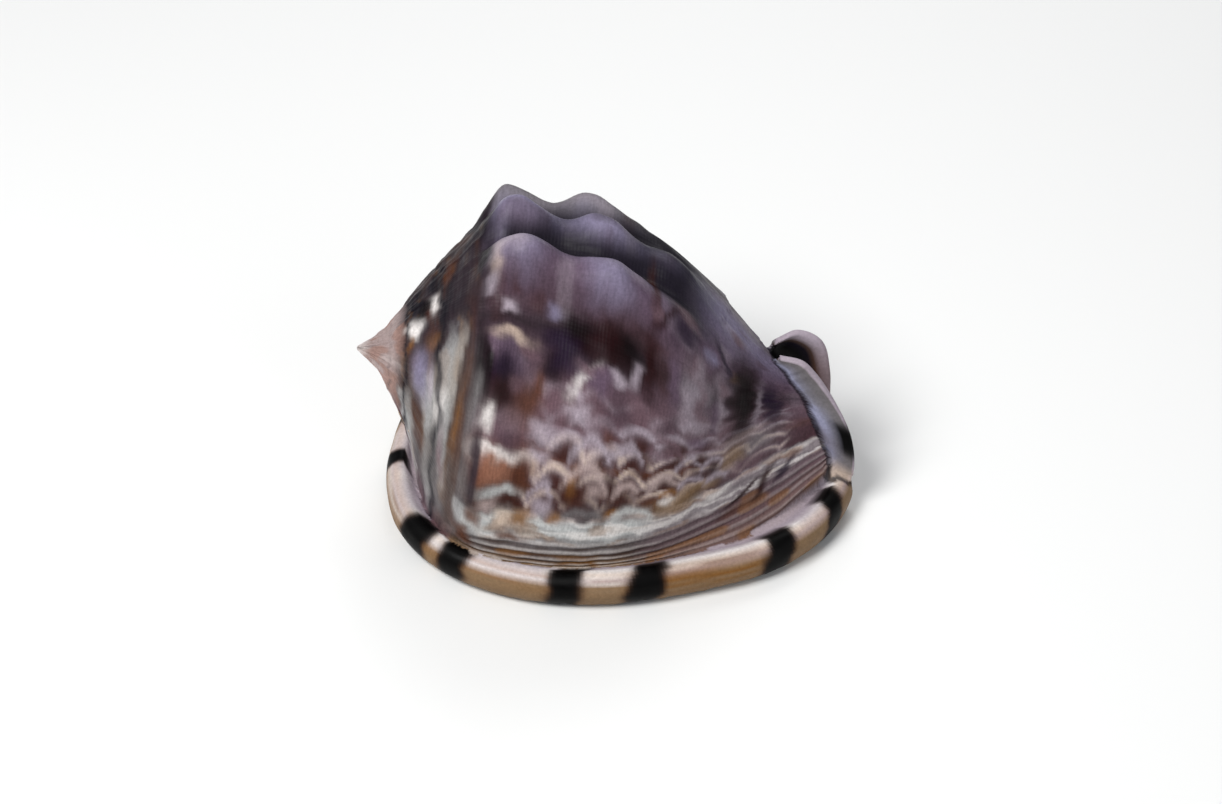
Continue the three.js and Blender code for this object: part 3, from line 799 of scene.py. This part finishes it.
def paintBody(turn, along):
    # the marks waver at their edges by a millimetre or two
    t = turn + 1.6 * cloud(turn / 6, along / 6, 1) + 0.8 * cloud(turn / 2.4, along / 2.4, 2)
    a = along + 1.5 * cloud(turn / 6, along / 6, 3) + 0.8 * cloud(turn / 2.4, along / 2.4, 4)
    mottle = cloud(turn / 9, along / 8, 5)
    knobs = fall(t, 34, 10) * rise(t, -150, 20)
    # painted shade: slate darkens the valleys and saddles between the knobs, over the shell's own darker
    # colour there
    valleyShade = (1 - crestShare(turn, along)) ** 0.6 * knobs * rise(along, 44, 8) * fall(along, 140, 25)
    # the far side repeats the belt and the lace in its own order
    far = rise(-t, 62, 16)
    belt = bump(t, -86, 7, 4) * rise(cloud(along / 9, turn / 14, 6), -0.1, 0.4)
    colours = paintOver(
        blend(groundColours, t),
        ("lilac", rise(mottle, 0.25, 0.5) * 0.25 * fall(t, 94, 10)),
        ("umber", rise(-mottle, 0.35, 0.4) * 0.35 * fall(t, 94, 10)),
        # painted shade in the valleys and saddles between the knobs
        ("slate", valleyShade * (0.96 - 0.6 * far) * fall(turn, 18, 10)),
        ("maroon", belt * far * 0.9))
    colours = paintLace(colours, -t - 52, a + 24)
    # cords beside the lip, which get fainter towards the canal, where everything turns mauve
    lipBand = rise(t, 95, 5) * rise(along, 44, 14)
    cords = cordRelief(turn, along)
    plainer = 1 - 0.65 * rise(along, 95, 35)
    # wavy streaks and stains in the pale field above the cords
    field = rise(t, 86, 3) * fall(t, 100, 3) * rise(along, 50, 8)
    streaks = cloud(along / 24, t / 1.4 + 0.6 * np.sin(along / 5), 52)
    stains = rise(cloud(along / 8, t / 3, 53), 0.2, 0.3)
    colours = paintOver(
        colours,
        ("mauve", rise(along, 128, 25) * 0.25),
        ("dusk", rise(along, 145, 20) * 0.3 * fall(t, 96, 16)),
        ("rose", rise(t, 86, 4) * rise(along, 108, 14) * 0.55),
        ("chalk", lipBand * rise(cords, -0.2, 0.8) * 0.45 * plainer),
        ("bark", lipBand * rise(-cords, 0.5, 0.4) * 0.8 * plainer),
        ("ochre", lipBand * rise(cloud(along / 11, turn / 5, 7), 0.3, 0.3) * 0.5),
        ("ash", field * rise(streaks, 0.1, 0.4) * 0.35),
        ("chalk", field * rise(-streaks, 0.1, 0.4) * 0.6),
        ("ochre", field * stains * 0.4))
    sway, shift = [1.8 * cloud(turn / 7, along / 7, seed) for seed in (1, 3)]
    colours = paintLace(colours, turn + sway, along + shift)
    colours = paintMarks(colours, t, a, bodyMarks)
    for topTurn, place, halfWidth, drop, thickness, paint in bodyArches:
        side = np.abs(a - place) / halfWidth
        line = bump(t, topTurn + drop * side ** 1.7, thickness) * fall(side, 1.2, 0.4)
        colours = paintOver(colours, (paint, line * 0.8))
    return paintSpire(colours, turn, along, t)


# Ground colour of the ramp below the shoulder and of the spire by turn angle, and the marks that lie on it
rampColours = [
    (-226, "cream"), (-120, "rose"), (-60, "shade"), (-10, "slate"), (22, "slate"), (36, "shade"),
    (62, "bark"), (84, "bark"), (102, "ash"), (116, "rose"),
]
rampMarks = [mark for mark in bodyMarks if mark[1] < 47]


def paintSpire(colours, turn, along, t):
    # lengthwise streaks on the ramp and on the small whorls
    wobble = along + 2.2 * cloud(turn / 13, along / 6, 8)
    broad = cloud(wobble / 4, turn / 22, 9)
    fine = cloud(wobble / 1.4, turn / 18, 10)
    ramp = paintOver(
        blend(rampColours, t),
        ("bluegrey", rise(broad, 0.1, 0.4) * 0.6 * rise(t, 30, 20)),
        ("brown", rise(-broad, 0.1, 0.5) * 0.35),
        ("ochre", rise(fine, 0.35, 0.3) * 0.2),
        ("shade", rise(-fine, 0.3, 0.4) * 0.5),
        ("blush", fall(along, 19, 6) * 0.75),
        ("salmon", fall(along, 19, 4) * rise(-broad, 0.1, 0.4) * 0.4),
        ("chalk", fall(along, 6, 5) * 0.6))
    onRamp = fall(along, 45 + 2.5 * cloud(turn / 9, along * 0, 11), 3)[:, None]
    colours = paintMarks(colours * (1 - onRamp) + ramp * onRamp, t, wobble, rampMarks)
    seam = bump(sutureGap(turn, along), 0, 0.8) * rise(along, 11, 5)
    return paintOver(colours, ("slate", seam * 0.9))


# Colours of the rim from its resting edge (0) over the roll (0.11) and its top (0.24), across the shield
# and down the slit, and out along the underside (1)
rimLength = 577            # mm once round
rimColours = [
    # the roll is tan below and cream to chalk on top: the lip's own tan and cream, with painted shade below
    # and a painted highlight on top
    (0, "tan"), (0.17, "tan"), (0.2, "blush"), (0.22, "cream"), (0.24, "chalk"), (0.27, "lilac"),
    (0.36, "blush"), (0.45, "gum"), (0.6, "gum"), (0.66, "cream"), (0.8, "chalk"), (0.93, "cream"),
    (1, "tan"),
]

# Dark bars across the rim: share of the way round, half width in mm, slant (mm over the roll), strength
rimBars = [
    (0.467, 6.5, 0, 1), (0.372, 9, 2, 1), (0.33, 6.8, 1, 1), (0.251, 6.5, 2, 1), (0.199, 6.6, 3, 1),
    (0.105, 7.2, 5, 1), (0.046, 6.6, 7, 1), (0.952, 8, 0, 1), (0.53, 5, 0, 0.8), (0.6, 6, 0, 0.9),
    (0.665, 4.5, 0, 0.7), (0.74, 5.5, 0, 0.8), (0.81, 4.5, 0, 0.7), (0.88, 5, 0, 0.8),
]

# Streaks along the rim: first and last share of the way round, row, half width, colour, strength
rimStreaks = [
    (0.05, 0.5, 0.125, 0.035, "tan", 0.9), (0.24, 0.5, 0.155, 0.022, "ochre", 0.65),
    (0.11, 0.2, 0.165, 0.045, "ochre", 0.9), (0.11, 0.2, 0.225, 0.012, "brown", 0.4),
    # the chalk streaks at rows 0.18 and 0.2, on the upper roll, are partly painted highlight over the lip's
    # own pale colour
    (0.02, 0.1, 0.15, 0.03, "tan", 0.8), (0.36, 0.5, 0.18, 0.03, "chalk", 0.5),
    (0.2, 0.36, 0.2, 0.025, "chalk", 0.7), (0.5, 1, 0.16, 0.03, "tan", 0.6),
]


def paintPlate(share, row):
    length = rimLength * share
    colours = blend(rimColours, row)
    for first, last, middle, halfWidth, paint, strength in rimStreaks:
        inside = rise(share, first, 0.02) * fall(share, last + 0.02, 0.02)
        streak = bump(row, middle + 0.012 * cloud(length / 40, row * 0, 22), halfWidth)
        streak = streak * inside * rise(cloud(length / 26, row * 90, 21), -0.7, 0.6)
        colours = paintOver(colours, (paint, streak * strength))
    shield = rise(share, 0.5, 0.06) * fall(share, 1, 0.06) * (row > 0.2) * (row < 0.42)
    colours = paintOver(
        colours,
        ("lilac", bump(row, 0.26, 0.05) * rise(cloud(length / 18, row * 9, 23), -0.2, 0.6) * 0.6),
        ("ash", fall(row, 0.05, 0.05) * rise(cloud(length / 5, row * 30, 24), 0, 0.5) * 0.6),
        ("cream", shield * 0.5))
    # the bars lie over the roll and show again at the edge underneath
    reach = fall(row, 0.29, 0.04) + rise(row, 0.9, 0.08)
    waver = 1.3 * cloud(length / 5, row * 26, 25)
    for place, halfWidth, slant, strength in rimBars:
        offset = length - rimLength * place + slant * (row - 0.15) * 8
        offset = (offset + rimLength / 2) % rimLength - rimLength / 2 + waver
        colours = paintOver(
            colours,
            ("umber", bump(offset, 0, halfWidth * 1.12, 6) * reach * strength * 0.8),
            ("ink", bump(offset, 0, halfWidth * 0.98, 8) * reach * strength))
    # brown between the teeth and the folds, on the wall of the slit
    folds = bump(row, 0.6, 0.07, 3) * (share > 0.5) * rise(cloud(length / 14, row * 6, 26), -0.35, 0.4)
    return paintOver(colours, ("chestnut", bump(row, 0.48, 0.07, 4) * 0.85), ("chestnut", folds * 0.8))


# Inside the canal the colours run from the bed to the edges, near black towards the bed as painted shade;
# outside from the near edge to the far one
canalColours = {
    # painted shade: ink and slate inside the canal, darkest at its bed
    "inside": [(0, "ink"), (0.8, "ink"), (0.92, "slate"), (0.965, "bark"), (1, "lilac")],
    "outside": [(-1, "ash"), (-0.9, "steel"), (0.2, "steel"), (0.8, "lilac"), (1, "ash")],
}


def paintCanal(side, place, inside):
    # side runs from the near edge (-1) over the bed to the far edge (1), place from the slit to the tip
    if inside:
        colours = paintOver(
            blend(canalColours["inside"], np.abs(side)),
            ("brown", rise(side, 0.9, 0.1) * fall(place, 0.8, 0.2) * 0.5),
            # painted shade: darker still towards the bed
            ("ink", fall(np.abs(side), 0.8, 0.5) * 0.5))
    else:
        colours = paintOver(
            blend(canalColours["outside"], side),
            ("ash", rise(cloud(place * 14, side * 3, 31), 0.05, 0.5) * 0.45),
            ("bark", bump(place, 0.43, 0.06) * bump(side, -0.7, 0.25) * 0.8))
    return paintOver(
        colours,
        ("cream", fall(place, 0.38, 0.08) * 0.8),
        ("ink", bump(place, 0.475, 0.07, 6) * fall(side, -0.95, 0.035)))


def reliefOf(growth):
    # fine relief in mm, outwards: cords by the lip, wrinkles on the ramp, slow waves all over
    first, second, part = growth.T
    onBody = part == parts["body"]
    band = rise(first, 94, 6) * rise(second, 40, 14)
    ramp = fall(second, 46, 4) * rise(second, 4, 6)
    relief = 0.38 * cordRelief(first, second) * band
    relief += 0.3 * cloud((second + cloud(first / 9, second / 5, 41)) / 1.5, first / 16, 42) * ramp
    relief += 0.3 * cloud(first / 5, second / 5, 43) + 0.16 * cloud(first / 2, second / 9, 44)
    relief = np.where(onBody, relief, 0)
    onPlate = part == parts["plate"]
    length = first * rimLength
    edge = 0.45 * cloud(length / 3.2, second * 20, 45) * fall(second, 0.08, 0.05)
    roll = 0.22 * cloud(length / 9, second * 60, 46) * fall(second, 0.34, 0.06)
    relief = np.where(onPlate, edge + roll, relief)
    onCanal = part == parts["canalOutside"]
    return np.where(onCanal, 0.35 * cloud(first * 3, second * 22, 47), relief)


# Aragonite with a thin natural polish: a dull glow, fine ribs that cross like cloth, cloudy pigment
glaze = {
    "contrast": 1.14,        # the wet look of the polish deepens the dark pigments
    "brilliance": 1.2,       # and lights up the pale ones
    "ior": 1.55,
    "specular": 0.07,        # dry and a little worn, so duller than polished aragonite
    "roughness": (0.36, 0.56),
    "grain": 1.1,            # mm across one speck of pigment
    "cloud": 6.25,           # mm across one cloudy patch
    "streaks": (0.32, 0.9, 0),    # waves to a degree round the whorl and to a mm along it
    "ribTurn": 1.5,          # degrees between growth lines
    "ribAlong": 1.3,         # mm between spiral lines
    "ribHeight": 0.045,      # mm, a little more than the real one so that it shows
}


def finishSurface(piece):
    points, growth = readPoints(piece)
    normals = np.empty(len(points) * 3, dtype=np.float32)
    piece.data.vertex_normals.foreach_get("vector", normals)
    points += normals.reshape(-1, 3) * reliefOf(growth)[:, None] * 0.001
    points = np.clip(points, np.array(cadBox[0]), np.array(cadBox[1]))  # the relief stays within the box
    piece.data.vertices.foreach_set("co", points.ravel())
    piece.data.update()
    colours = np.zeros((len(points), 3))
    plain = {"teeth": "chalk", "folds": "cream", "slit": "chestnut"}
    for name, number in parts.items():
        chosen = growth[:, 2] == number
        first, second = growth[chosen, 0], growth[chosen, 1]
        if name == "body":
            colours[chosen] = paintBody(first, second)
        elif name == "plate":
            colours[chosen] = paintPlate(first, second)
        elif name in plain:
            colours[chosen] = paints[plain[name]]
        else:
            colours[chosen] = paintCanal(first, second, name == "canalInside")
    colours = paintOver(colours, ("slate", bump(canalSeam, 0, 0.5) * 0.8))
    colours = glaze["brilliance"] * colours ** glaze["contrast"]
    tint = np.insert(colours, 3, 1, axis=1).astype(np.float32)
    piece.data.attributes.new("tint", "FLOAT_COLOR", "POINT").data.foreach_set("color", tint.ravel())


finishSurface(shell)
bpy.ops.object.shade_smooth_by_angle(angle=radians(60))
print("surface finished", len(shell.data.polygons))


def addNode(tree, kind, inputs, **settings):
    node = tree.nodes.new("ShaderNode" + kind)
    for name, value in settings.items():
        setattr(node, name, value)
    for name, value in inputs.items():
        if isinstance(value, bpy.types.NodeSocket):
            tree.links.new(value, node.inputs[name])
        else:
            node.inputs[name].default_value = value
    return node


def shellGlaze():
    material = bpy.data.materials.new("shellGlaze")
    material.use_nodes = True
    tree = material.node_tree
    shader = tree.nodes["Principled BSDF"]
    shader.inputs["IOR"].default_value = glaze["ior"]
    shader.inputs["Specular IOR Level"].default_value = glaze["specular"]
    place = addNode(tree, "TexCoord", {}).outputs["Object"]
    tint = addNode(tree, "Attribute", {}, attribute_name="tint").outputs["Color"]
    growth = addNode(tree, "Attribute", {}, attribute_name="growth").outputs["Vector"]
    specks = addNode(tree, "TexNoise", {
        "Vector": place, "Scale": 1000 / glaze["grain"], "Detail": 4, "Roughness": 0.6})
    clouds = addNode(tree, "TexNoise", {
        "Vector": place, "Scale": 1000 / glaze["cloud"], "Detail": 3, "Distortion": 0.6})
    stretched = addNode(tree, "Mapping", {
        "Vector": growth, "Scale": glaze["streaks"]}, vector_type="POINT")
    streaks = addNode(tree, "TexNoise", {
        "Vector": stretched.outputs["Vector"], "Scale": 1, "Detail": 3})
    speckTone = addNode(tree, "MapRange", {
        "Value": specks.outputs["Fac"], "From Min": 0.3, "From Max": 0.7, "To Min": 0.86, "To Max": 1.12})
    streakTone = addNode(tree, "MapRange", {
        "Value": streaks.outputs["Fac"], "From Min": 0.3, "From Max": 0.7, "To Min": 0.88, "To Max": 1.12})
    tone = addNode(tree, "Math", {
        0: speckTone.outputs["Result"], 1: streakTone.outputs["Result"]}, operation="MULTIPLY")
    pigment = addNode(tree, "VectorMath", {
        0: tint, "Scale": tone.outputs["Value"]}, operation="SCALE")
    gloss = addNode(tree, "MapRange", {
        "Value": clouds.outputs["Fac"], "From Min": 0.3, "From Max": 0.7,
        "To Min": glaze["roughness"][0], "To Max": glaze["roughness"][1]})
    # a wave texture of scale 1 repeats every 0.314 units
    wavy = {"Distortion": 1.5, "Detail": 1}
    growthRibs = addNode(tree, "TexWave", {
        "Vector": growth, "Scale": 0.314 / glaze["ribTurn"], **wavy}, bands_direction="X")
    spiralRibs = addNode(tree, "TexWave", {
        "Vector": growth, "Scale": 0.314 / glaze["ribAlong"], **wavy}, bands_direction="Y")
    ribs = addNode(tree, "Math", {
        0: growthRibs.outputs["Fac"], 1: spiralRibs.outputs["Fac"]}, operation="ADD")
    relief = addNode(tree, "Math", {
        0: clouds.outputs["Fac"], 1: 1.5, 2: ribs.outputs["Value"]}, operation="MULTIPLY_ADD")
    bumps = addNode(tree, "Bump", {
        "Height": relief.outputs["Value"], "Strength": 0.6, "Distance": glaze["ribHeight"] * 0.001})
    tree.links.new(pigment.outputs["Vector"], shader.inputs["Base Color"])
    tree.links.new(gloss.outputs["Result"], shader.inputs["Roughness"])
    tree.links.new(bumps.outputs["Normal"], shader.inputs["Normal"])
    return material


shell.data.materials.clear()
shell.data.materials.append(shellGlaze())
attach(shell, "root")
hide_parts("shell")
print("glaze laid on")

# Stage, light and camera, in metres, degrees and watts
stage = {
    "floorSize": 6,
    "floorColour": "#e1e1df",
    "skyColour": "#f3f6ff",
    "skyStrength": 0.27,
    "lights": {              # place, size, power
        "keyLight": ((-0.6, -0.6, 1.2), 0.7, 24),
        "fillLight": ((0.9, -0.5, 0.5), 0.9, 3),
        "backLight": ((0.1, 0.9, 0.9), 0.7, 5),
    },
    "lightsAimAt": (0, 0, 0.05),
}
shot = {
    "azimuth": 8,
    "elevation": 40,
    "distance": 1.2,
    "lens": 92.6,
    "target": (0.0009, 0.0077, 0.0394),
}
scene = bpy.context.scene
scene.view_settings.view_transform = "Standard"    # plain tones, so the pigments show as mixed
deselectAll()
bpy.ops.mesh.primitive_plane_add(size=stage["floorSize"])
floor = bpy.context.active_object
floor.name = "floor"
floorMaterial = bpy.data.materials.new("paperFloor")
floorMaterial.use_nodes = True
floorShader = floorMaterial.node_tree.nodes["Principled BSDF"]
floorShader.inputs["Base Color"].default_value = (*linear(stage["floorColour"]), 1)
floor.data.materials.append(floorMaterial)

for name, (place, size, power) in stage["lights"].items():
    light = bpy.data.lights.new(name, "AREA")
    light.size = size
    light.energy = power
    lamp = bpy.data.objects.new(name, light)
    scene.collection.objects.link(lamp)
    lamp.location = place
    aim = Vector(stage["lightsAimAt"]) - Vector(place)
    lamp.rotation_euler = aim.to_track_quat("-Z", "Y").to_euler()

world = bpy.data.worlds.new("softWorld")
world.use_nodes = True
sky = world.node_tree.nodes["Background"]
sky.inputs["Color"].default_value = (*linear(stage["skyColour"]), 1)
sky.inputs["Strength"].default_value = stage["skyStrength"]
scene.world = world

cameraData = bpy.data.cameras.new("camera")
cameraData.lens = shot["lens"]
cameraData.sensor_width = 36
camera = bpy.data.objects.new("camera", cameraData)
scene.collection.objects.link(camera)
turn, rise = radians(shot["azimuth"]), radians(shot["elevation"])
back = Vector((sin(turn) * cos(rise), -cos(turn) * cos(rise), sin(rise)))
camera.location = Vector(shot["target"]) + back * shot["distance"]
camera.rotation_euler = (-back).to_track_quat("-Z", "Y").to_euler()
scene.camera = camera
print("light and camera set")
